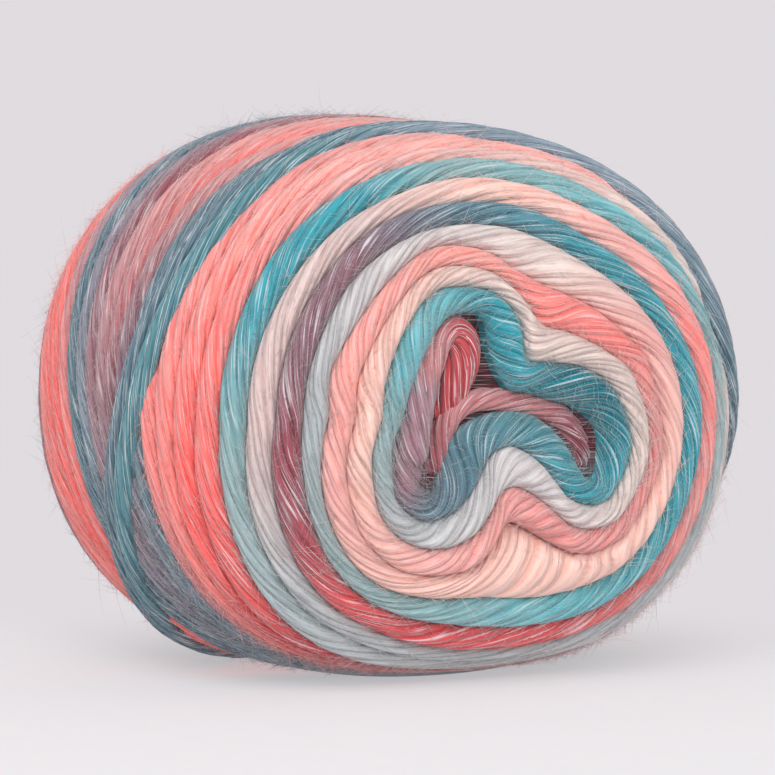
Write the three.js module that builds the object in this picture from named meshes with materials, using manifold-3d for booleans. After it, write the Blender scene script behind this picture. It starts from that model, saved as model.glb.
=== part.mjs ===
// A machine-wound ball of thick gradient yarn, lying on its side.
// Millimetres, +Z up. The winding axis runs along X and the end with the lobed eye faces +X.
import * as THREE from "three";
import { mergeVertices } from "three/addons/utils/BufferGeometryUtils.js";
import Module from "manifold-3d";

// Overall form of the ball.
const HALF_HEIGHT = 42.5; // winding axis to the crown
const WIDTH_RATIO = 1.125; // slumped a little wider than it is tall
const NEAR_LENGTH = 41; // middle of the ball to the end with the eye
const FAR_LENGTH = 43.7; // middle of the ball to the other end
const SHOULDER = 4; // higher gives squarer shoulders
const FLANK = 2.34; // higher gives a flatter side
const FAR_GAIN = 0.044; // how much fatter the far end is
const SECTION = 2.15; // 2 is a plain oval section
const UNDERSIDE_SAG = 0.08; // share of the radius lost under the ball
const AXIS_TILT = -0.047;
const END_RISE = 0.122; // both ends curl up from the table
const REST_DEPTH = 1.0; // how much of the underside the table flattens

// The wound yarn.
const TURN_WIDTH = 3.72; // one turn of yarn across the side
const GROOVE = 0.85; // groove between two turns, below the form
const CROWN = 0.7; // crown of a turn, above the form
const TURN_STEPS = 54; // facets round one turn
const EDGE_TURNS = 33; // turns from the eye to the far dimple
const NEAR_TURNS = 8; // turns of the near end that have their own measured edges
const WOBBLE_TURNS = 10; // further turns that take up the unevenness of the near end
const SLANT = 16; // how far the turns on the side lean along the ball
const SLANT_CLOCK = 275; // clock angle where a leaning turn crosses its middle

// The two end recesses.
const EYE_FLOOR = 7.0; // depth of the floor in the near end
const EYE_SINK = 5.5; // depth of the innermost turn's edge
const SINK_TURNS = 2.2; // turns over which the sinking dies away
const DIMPLE_SINK = 3.5;
const DIMPLE_FLOOR = 6.5;

// Lobed eye, a row per section round it, counter-clockwise from nine o'clock.
// turn: degrees from nine o'clock; then across and up in mm from the eye's middle, for the inner
// edge of the first turn, the edge between the first and second, and the edge after the third.
// crease: extra depth of that last edge.
const EYE_SECTIONS = [
  { turn: 0, innerY: -8.7, innerZ: -1.4, firstY: -13.1, firstZ: -0.2, thirdY: -20.1, thirdZ: 0.6, crease: 0 },
  { turn: 14, innerY: -8.7, innerZ: -4.9, firstY: -14.3, firstZ: -4.6, thirdY: -21.0, thirdZ: -5.8, crease: 0 },
  { turn: 27, innerY: -8.9, innerZ: -8.2, firstY: -14.2, firstZ: -8.5, thirdY: -20.3, thirdZ: -11.6, crease: 0 },
  { turn: 40, innerY: -9.3, innerZ: -10.3, firstY: -13.6, firstZ: -12.2, thirdY: -18.2, thirdZ: -17.6, crease: 0 },
  { turn: 54, innerY: -8.8, innerZ: -11.4, firstY: -11.4, firstZ: -15.3, thirdY: -12.9, thirdZ: -23.4, crease: 0 },
  { turn: 67, innerY: -7.9, innerZ: -11.7, firstY: -8.5, firstZ: -16.3, thirdY: -6.5, thirdZ: -25.2, crease: 0 },
  { turn: 77, innerY: -7.3, innerZ: -9.5, firstY: -5.2, firstZ: -14.7, thirdY: -2.4, thirdZ: -24.0, crease: 0.8 },
  { turn: 84, innerY: -6.7, innerZ: -6.5, firstY: -2.9, firstZ: -10.8, thirdY: -0.5, thirdZ: -20.9, crease: 2 },
  { turn: 90, innerY: -5.2, innerZ: -3.2, firstY: -1.6, firstZ: -7.4, thirdY: 0.5, thirdZ: -18.6, crease: 2.4 },
  { turn: 98, innerY: 0.4, innerZ: -0.6, firstY: 0.8, firstZ: -5.8, thirdY: 1.9, thirdZ: -18.2, crease: 2.4 },
  { turn: 105, innerY: 4.8, innerZ: -0.7, firstY: 2.9, firstZ: -6.2, thirdY: 3.6, thirdZ: -18.9, crease: 2.2 },
  { turn: 112, innerY: 8.1, innerZ: -2.8, firstY: 5.5, firstZ: -8.0, thirdY: 5.7, thirdZ: -20.1, crease: 1.8 },
  { turn: 119, innerY: 10.6, innerZ: -5.6, firstY: 7.5, firstZ: -10.5, thirdY: 8.1, thirdZ: -21.3, crease: 1.2 },
  { turn: 126, innerY: 12.3, innerZ: -8.7, firstY: 9.7, firstZ: -13.2, thirdY: 10.9, thirdZ: -22.3, crease: 0.5 },
  { turn: 135, innerY: 13.5, innerZ: -10.3, firstY: 12.8, firstZ: -14.4, thirdY: 14.6, thirdZ: -21.6, crease: 0 },
  { turn: 146, innerY: 14.9, innerZ: -9.8, firstY: 16.1, firstZ: -13.1, thirdY: 19.2, thirdZ: -18.0, crease: 0 },
  { turn: 164, innerY: 15.1, innerZ: -3.8, firstY: 19.4, firstZ: -5.5, thirdY: 24.1, thirdZ: -6.0, crease: 0 },
  { turn: 190, innerY: 11.7, innerZ: -0.3, firstY: 16.3, firstZ: 2.8, thirdY: 21.5, thirdZ: 6.6, crease: 0 },
  { turn: 208, innerY: 8.1, innerZ: 0.9, firstY: 11.5, firstZ: 5.8, thirdY: 17.7, thirdZ: 10.7, crease: 0 },
  { turn: 226, innerY: 4.7, innerZ: 2.0, firstY: 6.4, firstZ: 6.5, thirdY: 12.1, thirdZ: 15.0, crease: 0 },
  { turn: 244, innerY: 1.6, innerZ: 2.9, firstY: 3.2, firstZ: 7.3, thirdY: 7.4, thirdZ: 17.3, crease: 0 },
  { turn: 261, innerY: -0.9, innerZ: 8.3, firstY: 2.3, firstZ: 13.1, thirdY: 2.2, thirdZ: 20.6, crease: 0 },
  { turn: 276, innerY: -2.0, innerZ: 13.4, firstY: -1.4, firstZ: 17.3, thirdY: -2.6, thirdZ: 23.8, crease: 0 },
  { turn: 292, innerY: -6.0, innerZ: 13.4, firstY: -8.1, firstZ: 17.5, thirdY: -9.0, thirdZ: 24.0, crease: 0 },
  { turn: 314, innerY: -8.8, innerZ: 9.8, firstY: -12.5, firstZ: 12.7, thirdY: -16.2, thirdZ: 17.3, crease: 0 },
  { turn: 338, innerY: -12.0, innerZ: 2.9, firstY: -15.8, firstZ: 4.8, thirdY: -22.6, thirdZ: 7.3, crease: 0 },
  { turn: 360, innerY: -13.1, innerZ: -0.2, firstY: -16.6, firstZ: 0.2, thirdY: -23.5, thirdZ: 0.0, crease: 0 },
];

// Edges of the following turns on the near end, mm along the form from the middle of the eye.
const END_TURNS = [
  { turn: 0, fourth: 23.5, fifth: 26.8, sixth: 30.5, seventh: 34.3, eighth: 38.2 },
  { turn: 30, fourth: 26.8, fifth: 28.9, sixth: 33.0, seventh: 36.3, eighth: 39.7 },
  { turn: 60, fourth: 30.0, fifth: 32.8, sixth: 36.6, seventh: 39.7, eighth: 44.0 },
  { turn: 90, fourth: 30.2, fifth: 35.2, sixth: 40.3, seventh: 43.7, eighth: 47.5 },
  { turn: 120, fourth: 31.6, fifth: 36.2, sixth: 40.3, seventh: 44.0, eighth: 47.8 },
  { turn: 150, fourth: 29.3, fifth: 33.5, sixth: 37.8, seventh: 41.5, eighth: 45.3 },
  { turn: 180, fourth: 28.1, fifth: 32.4, sixth: 36.6, seventh: 40.4, eighth: 44.2 },
  { turn: 210, fourth: 26.0, fifth: 29.6, sixth: 35.0, seventh: 38.8, eighth: 42.6 },
  { turn: 240, fourth: 24.9, fifth: 29.0, sixth: 34.0, seventh: 39.0, eighth: 43.0 },
  { turn: 270, fourth: 27.8, fifth: 32.0, sixth: 37.0, seventh: 41.8, eighth: 45.5 },
  { turn: 300, fourth: 28.2, fifth: 32.0, sixth: 35.4, seventh: 40.2, eighth: 43.8 },
  { turn: 330, fourth: 26.7, fifth: 30.4, sixth: 34.0, seventh: 38.3, eighth: 42.0 },
  { turn: 360, fourth: 26.8, fifth: 30.5, sixth: 34.3, seventh: 38.2, eighth: 41.9 },
];

// Strands seen in the eye: across, up and depth in mm, then how thick the strand is.
const EYE_STRANDS = [
  {
    radius: 2.2,
    path: [
      { y: -10.9, z: -3.0, deep: 4.9 },
      { y: -9.9, z: 2.2, deep: 4.9 },
      { y: -8.2, z: 7.0, deep: 4.8 },
      { y: -6.9, z: 10.0, deep: 5.0 },
      { y: -4.7, z: 11.6, deep: 5.2 },
      { y: -3.1, z: 10.2, deep: 5.4 },
      { y: -2.5, z: 6.9, deep: 6.0 },
      { y: -3.3, z: 3.0, deep: 7.4 },
    ],
  },
  {
    radius: 1.9,
    path: [
      { y: -7.8, z: -10.4, deep: 6.6 },
      { y: -7.2, z: -5.7, deep: 6.2 },
      { y: -6.4, z: -2.2, deep: 5.8 },
      { y: -4.8, z: 0.4, deep: 5.6 },
      { y: -1.5, z: 1.4, deep: 5.6 },
      { y: 4.1, z: 0.9, deep: 5.9 },
      { y: 9.3, z: -0.9, deep: 6.3 },
      { y: 12.4, z: -3.7, deep: 6.8 },
      { y: 13.7, z: -7.1, deep: 7.2 },
      { y: 13.4, z: -9.6, deep: 7.6 },
    ],
  },
];

// Path of two loose turns that stray over their neighbours side by side, a row per place round it.
// turn: clock angle from twelve, run: mm along the form to the middle between the two.
const STRAY_PATH = [
  { turn: 0, run: 56.3 },
  { turn: 12, run: 53.2 },
  { turn: 24, run: 49.6 },
  { turn: 40, run: 45.6 },
  { turn: 56, run: 43.4 },
  { turn: 72, run: 43.0 },
  { turn: 90, run: 47.5 },
  { turn: 110, run: 58.0 },
  { turn: 130, run: 70.0 },
  { turn: 150, run: 80.0 },
  { turn: 170, run: 86.0 },
  { turn: 185, run: 88.0 },
  { turn: 200, run: 85.8 },
  { turn: 215, run: 78.5 },
  { turn: 230, run: 71.0 },
  { turn: 245, run: 64.6 },
  { turn: 260, run: 58.9 },
  { turn: 275, run: 54.5 },
  { turn: 290, run: 51.8 },
  { turn: 304, run: 51.0 },
  { turn: 318, run: 51.8 },
  { turn: 332, run: 54.3 },
  { turn: 348, run: 57.0 },
  { turn: 360, run: 56.3 },
];
const STRAY_OFFSETS = [-1.75, 1.75];
const STRAY_RADIUS = 2.15;
const STRAY_LIFT = -0.1;
const STRAY_STEPS = 72;
const STRAND_SIDES = 8;

const rad = THREE.MathUtils.degToRad;

// Half outline of the ball in the plane of its axis, with the distance run from the near end.
function outlineTable(count) {
  const rows = [];
  let run = 0;
  for (let i = 0; i <= count; i += 1) {
    const angle = (Math.PI * i) / count;
    const c = Math.cos(angle);
    const length = c >= 0 ? NEAR_LENGTH : FAR_LENGTH;
    const x = length * Math.sign(c) * Math.abs(c) ** (2 / SHOULDER);
    const swell = 1 - (FAR_GAIN * x) / HALF_HEIGHT;
    const r = HALF_HEIGHT * Math.abs(Math.sin(angle)) ** (2 / FLANK) * swell;
    if (i > 0) run += Math.hypot(x - rows[i - 1].x, r - rows[i - 1].r);
    rows.push({ run, x, r });
  }
  return rows;
}
const OUTLINE = outlineTable(1200);
const OUTLINE_LENGTH = OUTLINE[OUTLINE.length - 1].run;

function outlineAt(run) {
  const wanted = THREE.MathUtils.clamp(run, 0, OUTLINE_LENGTH);
  let low = 0;
  let high = OUTLINE.length - 1;
  while (high - low > 1) {
    const middle = (low + high) >> 1;
    if (OUTLINE[middle].run <= wanted) low = middle;
    else high = middle;
  }
  const a = OUTLINE[low];
  const b = OUTLINE[high];
  const share = (wanted - a.run) / Math.max(b.run - a.run, 1e-9);
  return { x: a.x + (b.x - a.x) * share, r: a.r + (b.r - a.r) * share };
}

// Point on the smooth form, a distance along it from the near end at a clock angle from twelve.
function onForm(run, clock) {
  const { x, r } = outlineAt(run);
  const side = Math.sin(clock);
  const rise = Math.cos(clock);
  const size = (Math.abs(side) ** SECTION + Math.abs(rise) ** SECTION) ** (-1 / SECTION);
  let z = rise * size;
  if (z < 0) z *= 1 - UNDERSIDE_SAG * (-z) ** 3;
  const lift = AXIS_TILT * x + (END_RISE * x * x) / HALF_HEIGHT;
  return new THREE.Vector3(x, r * side * size * WIDTH_RATIO, r * z + lift);
}

function formNormal(run, clock) {
  const step = 0.4;
  const along = onForm(run + step, clock).sub(onForm(run - step, clock));
  const round = onForm(run, clock + 0.02).sub(onForm(run, clock - 0.02));
  return round.cross(along).normalize();
}

// Lowest height of the smooth form, and so the table's height.
const TABLE = onForm(OUTLINE_LENGTH * 0.47, Math.PI).z + REST_DEPTH;

// Reads named columns of a table at a turn angle, with a smooth curve through the rows.
function readRow(table, turn, name) {
  let i = 0;
  while (i < table.length - 2 && table[i + 1].turn < turn) i += 1;
  const before = table[Math.max(i - 1, 0)];
  const a = table[i];
  const b = table[i + 1];
  const after = table[Math.min(i + 2, table.length - 1)];
  const width = b.turn - a.turn;
  const slopeA = ((b[name] - before[name]) / Math.max(b.turn - before.turn, 1)) * width;
  const slopeB = ((after[name] - a[name]) / Math.max(after.turn - a.turn, 1)) * width;
  const s = (turn - a.turn) / width;
  const rise = b[name] - a[name];
  return a[name] + s * slopeA + s * s * (3 * rise - 2 * slopeA - slopeB)
    + s * s * s * (slopeA + slopeB - 2 * rise);
}

// Flat map of the form: across and up are the distance along it times the sine and cosine
// of the clock angle.
function mapPoint(run, clock) {
  return { y: run * Math.sin(clock), z: run * Math.cos(clock) };
}

// How far a turn on the side has moved along the ball because the winding leans.
function slantOf(run, clock) {
  const rise = THREE.MathUtils.smoothstep(run, 42, 72);
  const fall = 1 - THREE.MathUtils.smoothstep(run, 80, 118);
  return SLANT * rise * fall * Math.sin(clock - rad(SLANT_CLOCK));
}

// Edge number k of the winding on the flat map, at a turn angle counted from nine o'clock.
function edgePoint(k, turn) {
  const clock = rad(270 - turn);
  if (k <= 3) {
    const at = (name) => readRow(EYE_SECTIONS, turn, name);
    if (k === 0) return { y: at("innerY"), z: at("innerZ") };
    if (k === 1) return { y: at("firstY"), z: at("firstZ") };
    if (k === 3) return { y: at("thirdY"), z: at("thirdZ") };
    return { y: (at("firstY") + at("thirdY")) / 2, z: (at("firstZ") + at("thirdZ")) / 2 };
  }
  const names = ["fourth", "fifth", "sixth", "seventh", "eighth"];
  if (k <= NEAR_TURNS) return mapPoint(readRow(END_TURNS, turn, names[k - 4]), clock);
  const even = END_TURNS[0].eighth + TURN_WIDTH * (k - NEAR_TURNS + turn / 360);
  const uneven = readRow(END_TURNS, turn, "eighth") - END_TURNS[0].eighth
    - (TURN_WIDTH * turn) / 360;
  const fade = Math.max(0, 1 - (k - NEAR_TURNS) / WOBBLE_TURNS);
  const run = even + uneven * fade;
  return mapPoint(run + slantOf(run, clock), clock);
}

// Depth below the form: the first turns sink into the eye and the last ones into the dimple.
function sinkOf(turns) {
  const near = Math.max(0, 1 - turns / SINK_TURNS);
  const far = Math.max(0, 1 - (EDGE_TURNS + 1 - turns) / SINK_TURNS);
  return EYE_SINK * near ** 1.6 + DIMPLE_SINK * far ** 1.6;
}

// A point of the flat map put on the form, raised along its normal and sunk along the axis.
function raise(point, height, sink) {
  const run = Math.hypot(point.y, point.z);
  const clock = Math.atan2(point.y, point.z);
  const place = onForm(run, clock);
  const outward = formNormal(run, clock);
  const press = THREE.MathUtils.smoothstep(place.z, TABLE + 0.4, TABLE + 6);
  place.addScaledVector(outward, height * press);
  place.x -= Math.sign(place.x) * sink;
  return place;
}

// Half-turn row i of the winding: even rows are grooves and odd rows are crowns.
function windingPoint(row, column) {
  const turn = (column * 360) / TURN_STEPS;
  const k = Math.floor(row / 2);
  const turns = row / 2 + turn / 360;
  const crowned = row % 2 === 1;
  const inner = edgePoint(k, turn);
  let point = inner;
  if (crowned) {
    const outer = edgePoint(k + 1, turn);
    point = { y: (inner.y + outer.y) / 2, z: (inner.z + outer.z) / 2 };
  }
  const crease = row === 6 ? readRow(EYE_SECTIONS, turn, "crease") : 0;
  return raise(point, crowned ? CROWN : -GROOVE - crease, sinkOf(turns));
}

// All the turns as one closed body. Where a row of points comes round it joins the row one turn on.
function windingBody() {
  const points = [];
  const rows = EDGE_TURNS * 2;
  for (let i = 0; i <= rows; i += 1) {
    for (let j = 0; j < TURN_STEPS; j += 1) points.push(windingPoint(i, j));
  }
  const spareA = points.push(windingPoint(rows + 1, 0)) - 1;
  const spareB = points.push(windingPoint(rows + 2, 0)) - 1;
  const at = (i, j) => {
    if (j === TURN_STEPS) return at(i + 2, 0);
    if (i === rows + 1) return spareA;
    if (i === rows + 2) return spareB;
    return i * TURN_STEPS + j;
  };
  const faces = [];
  for (let i = 0; i < rows; i += 1) {
    for (let j = 0; j < TURN_STEPS; j += 1) {
      const [a, b, c, d] = [at(i, j), at(i + 1, j), at(i + 1, j + 1), at(i, j + 1)];
      faces.push([a, b, c], [a, c, d]);
    }
  }
  const nearLoop = [];
  const farLoop = [];
  for (let j = 0; j < TURN_STEPS; j += 1) nearLoop.push(at(0, j));
  nearLoop.push(at(2, 0), at(1, 0));
  for (let j = 0; j < TURN_STEPS; j += 1) farLoop.push(at(rows, j));
  farLoop.push(spareB, spareA);
  closeRecess(points, faces, nearLoop, NEAR_LENGTH - EYE_FLOOR, false);
  closeRecess(points, faces, farLoop, DIMPLE_FLOOR - FAR_LENGTH, true);
  return closedSolid(points, faces);
}

// Wall down from a loop and a flat floor across it.
function closeRecess(points, faces, loop, floorX, flip) {
  const floor = loop.map((index) => {
    const p = points[index];
    return points.push(new THREE.Vector3(floorX, p.y, p.z)) - 1;
  });
  const put = (a, b, c) => faces.push(flip ? [a, c, b] : [a, b, c]);
  loop.forEach((index, i) => {
    const next = (i + 1) % loop.length;
    put(index, loop[next], floor[next]);
    put(index, floor[next], floor[i]);
  });
  const flat = floor.map((index) => new THREE.Vector2(points[index].y, points[index].z));
  const turnsLeft = THREE.ShapeUtils.area(flat) > 0;
  THREE.ShapeUtils.triangulateShape(flat, []).forEach(([a, b, c]) => {
    if (turnsLeft) put(floor[a], floor[b], floor[c]);
    else put(floor[a], floor[c], floor[b]);
  });
}

// Round strand along a list of points, with closed ends, or joined end to end.
function strand(path, radius, joined) {
  const curve = new THREE.CatmullRomCurve3(path, joined, "centripetal");
  const steps = joined ? path.length : path.length * 3;
  const frames = curve.computeFrenetFrames(steps, joined);
  const points = [];
  const rings = joined ? steps : steps + 1;
  for (let i = 0; i < rings; i += 1) {
    const middle = curve.getPointAt(i / steps);
    for (let j = 0; j < STRAND_SIDES; j += 1) {
      const angle = (2 * Math.PI * j) / STRAND_SIDES;
      const point = middle.clone();
      point.addScaledVector(frames.normals[i], Math.cos(angle) * radius);
      point.addScaledVector(frames.binormals[i], Math.sin(angle) * radius);
      points.push(point);
    }
  }
  const faces = [];
  for (let i = 0; i < steps; i += 1) {
    for (let j = 0; j < STRAND_SIDES; j += 1) {
      const next = (j + 1) % STRAND_SIDES;
      const low = i * STRAND_SIDES;
      const high = ((i + 1) % rings) * STRAND_SIDES;
      faces.push([low + j, low + next, high + next], [low + j, high + next, high + j]);
    }
  }
  if (!joined) {
    const start = points.push(curve.getPointAt(0)) - 1;
    const end = points.push(curve.getPointAt(1)) - 1;
    const last = steps * STRAND_SIDES;
    for (let j = 0; j < STRAND_SIDES; j += 1) {
      const next = (j + 1) % STRAND_SIDES;
      faces.push([start, next, j], [end, last + j, last + next]);
    }
  }
  return closedSolid(points, faces);
}

function eyeStrand({ radius, path }) {
  const points = path.map(({ y, z, deep }) => raise({ y, z }, 0, deep));
  return strand(points, radius, false);
}

function strayTurn(offset) {
  const points = [];
  for (let i = 0; i < STRAY_STEPS; i += 1) {
    const clock = (360 * i) / STRAY_STEPS;
    const run = readRow(STRAY_PATH, clock, "run") + offset;
    points.push(raise(mapPoint(run, rad(clock)), STRAY_LIFT, 0));
  }
  return strand(points, STRAY_RADIUS, true);
}

// Closed solid from points and faces, turned outward whichever way it was listed.
function closedSolid(points, faces) {
  const solidFrom = (list) => new wasm.Manifold(new wasm.Mesh({
    numProp: 3,
    vertProperties: new Float32Array(points.flatMap((p) => [p.x, p.y, p.z])),
    triVerts: new Uint32Array(list.flat()),
  }));
  const solid = solidFrom(faces);
  return solid.volume() > 0 ? solid : solidFrom(faces.map(([a, b, c]) => [a, c, b]));
}

// Large box under the table plane, which cuts the small flat spot the ball rests on.
function tableBlock() {
  const block = new THREE.BoxGeometry(300, 300, 60).translate(0, 0, TABLE - 30);
  block.deleteAttribute("normal");
  block.deleteAttribute("uv");
  const merged = mergeVertices(block);
  return new wasm.Manifold(new wasm.Mesh({
    numProp: 3,
    vertProperties: new Float32Array(merged.attributes.position.array),
    triVerts: new Uint32Array(merged.index.array),
  }));
}

// Geometry with its origin under the middle of the ball, on the table.
function restingGeometry(solid) {
  const { vertProperties, triVerts } = solid.getMesh();
  const geometry = new THREE.BufferGeometry();
  geometry.setAttribute("position", new THREE.BufferAttribute(new Float32Array(vertProperties), 3));
  geometry.setIndex(new THREE.BufferAttribute(new Uint32Array(triVerts), 1));
  geometry.computeBoundingBox();
  const { min, max } = geometry.boundingBox;
  geometry.translate(-(min.x + max.x) / 2, -(min.y + max.y) / 2, -TABLE);
  geometry.computeVertexNormals();
  return geometry;
}

const wasm = await Module();
wasm.setup();

let wound = windingBody();
for (const row of EYE_STRANDS) wound = wound.add(eyeStrand(row));
for (const offset of STRAY_OFFSETS) wound = wound.add(strayTurn(offset));
wound = wound.subtract(tableBlock());

const yarn = new THREE.MeshStandardMaterial({ color: 0xc9867f, roughness: 0.95, metalness: 0 });
const ball = new THREE.Mesh(restingGeometry(wound), yarn);
ball.name = "wound_yarn";

const group = new THREE.Group();
group.add(ball);

export default group;
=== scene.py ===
import math

import bpy
import numpy as np
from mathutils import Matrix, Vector
from mathutils.geometry import tessellate_polygon


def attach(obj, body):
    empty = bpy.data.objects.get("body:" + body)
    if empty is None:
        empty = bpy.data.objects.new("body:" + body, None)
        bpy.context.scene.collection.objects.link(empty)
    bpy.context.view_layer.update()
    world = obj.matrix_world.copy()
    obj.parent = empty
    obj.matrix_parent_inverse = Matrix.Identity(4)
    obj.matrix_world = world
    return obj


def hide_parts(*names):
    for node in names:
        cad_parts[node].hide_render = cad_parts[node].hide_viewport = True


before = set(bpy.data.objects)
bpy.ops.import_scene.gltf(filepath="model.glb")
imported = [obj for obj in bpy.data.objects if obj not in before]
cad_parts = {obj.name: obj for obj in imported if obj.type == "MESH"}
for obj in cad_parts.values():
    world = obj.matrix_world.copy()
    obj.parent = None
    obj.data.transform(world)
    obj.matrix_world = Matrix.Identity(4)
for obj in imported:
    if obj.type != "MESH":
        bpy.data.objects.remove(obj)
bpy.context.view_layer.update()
bpy.ops.object.select_all(action="DESELECT")
print("frame loaded")

# camera
camera = {
    "fromAxis": 24.0,  # degrees between the view and the winding axis
    "elevation": 4.0,
    "distance": 0.5525,
    "lens": 169.1,
    "aimRight": -0.0004,
    "aimUp": 0.00376,
}
ball = {
    "halfHeight": 42.5,  # mm, winding axis to the crown
    "widthRatio": 1.125,
    "nearLength": 41.0,
    "farLength": 43.7,
    "shoulder": 4.0,
    "flank": 2.34,
    "farGain": 0.044,
    "section": 2.15,
    "undersideSag": 0.08,
    "axisTilt": -0.047,
    "endRise": 0.122,
    "restDepth": 1.0,
    "middleShift": 0.98,  # the form's middle to the middle of its box, along the axis
}
winding = {
    "turnWidth": 3.72,
    "turns": 33,
    "nearTurns": 8,
    "wobbleTurns": 10,
    "slant": 16.0,
    "slantClock": 275.0,
    "eyeSink": 5.5,
    "eyeFloor": 6.4,
    "sinkTurns": 2.2,
    "dimpleSink": 3.5,
    "dimpleFloor": 6.5,
    "crown": 0.75,
    "groove": 1.25,
    "grooveUneven": 0.3,
    "sideTight": 0.35,  # share of the groove that is gone on the side
    "yarnRadius": 1.95,
    "plies": 9,
    "plyDepth": 0.32,
    "plyAngleEye": 30.0,
    "plyAngleSide": 13.0,
    "plyUneven": 0.4,
    "wander": 0.14,  # how far a turn strays sideways, mm
    "tipReach": 0.5,  # the hidden ends' tip, as a share of their distance from the middle
    "tipShade": 0.3,
    "wallShade": 0.6,
    "floorShade": 0.7,
}


def outlineTable(count=2400):
    angle = np.linspace(0, math.pi, count + 1)
    c = np.cos(angle)
    length = np.where(c >= 0, ball["nearLength"], ball["farLength"])
    x = length * np.sign(c) * np.abs(c) ** (2 / ball["shoulder"])
    swell = 1 - ball["farGain"] * x / ball["halfHeight"]
    r = ball["halfHeight"] * np.abs(np.sin(angle)) ** (2 / ball["flank"]) * swell
    run = np.concatenate([[0], np.cumsum(np.hypot(np.diff(x), np.diff(r)))])
    return run, x, r


outlineRun, outlineX, outlineR = outlineTable()
outlineLength = outlineRun[-1]


def onForm(run, clock):  # point on the smooth form, mm
    x = np.interp(run, outlineRun, outlineX)
    r = np.interp(run, outlineRun, outlineR)
    side, rise = np.sin(clock), np.cos(clock)
    power = ball["section"]
    size = (np.abs(side) ** power + np.abs(rise) ** power) ** (-1 / power)
    z = rise * size
    z = np.where(z < 0, z * (1 - ball["undersideSag"] * np.clip(-z, 0, None) ** 3), z)
    lift = ball["axisTilt"] * x + ball["endRise"] * x * x / ball["halfHeight"]
    return np.stack([x + 0 * z, r * side * size * ball["widthRatio"], r * z + lift], -1)


def formNormal(run, clock):
    along = onForm(run + 0.4, clock) - onForm(run - 0.4, clock)
    around = onForm(run, clock + 0.02) - onForm(run, clock - 0.02)
    normal = np.cross(around, along)
    return normal / np.maximum(np.linalg.norm(normal, axis=-1, keepdims=True), 1e-9)


tableHeight = float(onForm(np.array(outlineLength * 0.47), np.array(math.pi))[2]) + ball["restDepth"]


def toFrame(points):  # form millimetres to frame metres
    moved = points + np.array([ball["middleShift"], 0.0, -tableHeight])
    moved[..., 2] = np.maximum(moved[..., 2], 0.0)
    return moved * 0.001


def smoothStep(value, low, high):
    s = np.clip((value - low) / (high - low), 0, 1)
    return s * s * (3 - 2 * s)


# camera first
def makeCamera():
    theta, lift = math.radians(camera["fromAxis"]), math.radians(camera["elevation"])
    back = Vector((math.cos(theta) * math.cos(lift), -math.sin(theta) * math.cos(lift), math.sin(lift)))
    right = Vector((math.sin(theta), math.cos(theta), 0))
    up = back.cross(right)
    middle = Vector((ball["middleShift"] * 0.001, 0, -tableHeight * 0.001))
    place = middle + back * camera["distance"]
    aim = middle + right * camera["aimRight"] + up * camera["aimUp"]
    data = bpy.data.cameras.new("camera")
    data.lens = camera["lens"]
    data.clip_start = 0.05
    data.clip_end = 20
    seen = bpy.data.objects.new("camera", data)
    bpy.context.collection.objects.link(seen)
    seen.location = place
    seen.rotation_euler = (aim - place).to_track_quat("-Z", "Y").to_euler()
    bpy.context.scene.camera = seen
    return back, right


cameraBack, cameraRight = makeCamera()
print("camera placed")

# the winding's edges
# turn in degrees counter-clockwise from nine o'clock, then across and up in mm from the eye's middle:
# inner edge of the first turn, edge between the first and second, edge after the third, and its crease
eyeSections = [
    (0, -8.7, -1.4, -13.1, -0.2, -20.1, -0.07, 0), (14, -8.7, -4.9, -14.3, -4.6, -21.0, -5.8, 0),
    (27, -8.9, -8.2, -14.2, -8.5, -20.3, -11.6, 0), (40, -9.3, -10.3, -13.6, -12.2, -18.2, -17.6, 0),
    (54, -8.8, -11.4, -11.4, -15.3, -12.9, -23.4, 0), (67, -7.9, -11.7, -8.5, -16.3, -6.5, -25.2, 0),
    (77, -7.3, -9.5, -5.2, -14.7, -2.4, -24.0, 0.8), (84, -6.7, -6.5, -2.9, -10.8, -0.5, -20.9, 2.0),
    (90, -5.2, -3.2, -1.6, -7.4, 0.5, -18.6, 2.4), (98, 0.4, -0.6, 0.8, -5.8, 1.9, -18.2, 2.4),
    (105, 4.8, -0.7, 2.9, -6.2, 3.6, -18.9, 2.2), (112, 8.1, -2.8, 5.5, -8.0, 5.7, -20.1, 1.8),
    (119, 10.6, -5.6, 7.5, -10.5, 8.1, -21.3, 1.2), (126, 12.3, -8.7, 9.7, -13.2, 10.9, -22.3, 0.5),
    (135, 13.5, -10.3, 12.8, -14.4, 14.6, -21.6, 0), (146, 14.9, -9.8, 16.1, -13.1, 19.2, -18.0, 0),
    (164, 15.1, -3.8, 19.4, -5.5, 24.1, -6.0, 0), (190, 11.7, -0.3, 16.3, 2.8, 21.5, 6.6, 0),
    (208, 8.1, 0.9, 11.5, 5.8, 17.7, 10.7, 0), (226, 4.7, 2.0, 6.4, 6.5, 12.1, 15.0, 0),
    (244, 1.6, 2.9, 3.2, 7.3, 7.4, 17.3, 0), (261, -0.9, 8.3, 2.3, 13.1, 2.2, 20.6, 0),
    (276, -2.0, 13.4, -1.4, 17.3, -2.6, 23.8, 0), (292, -6.0, 13.4, -8.1, 17.5, -9.0, 24.0, 0),
    (314, -8.8, 9.8, -12.5, 12.7, -16.2, 17.3, 0), (338, -12.0, 2.9, -15.8, 4.8, -22.6, 7.3, 0),
    (360, -13.1, -0.2, -16.6, -0.13, -23.5, 0.0, 0),
]
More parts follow.
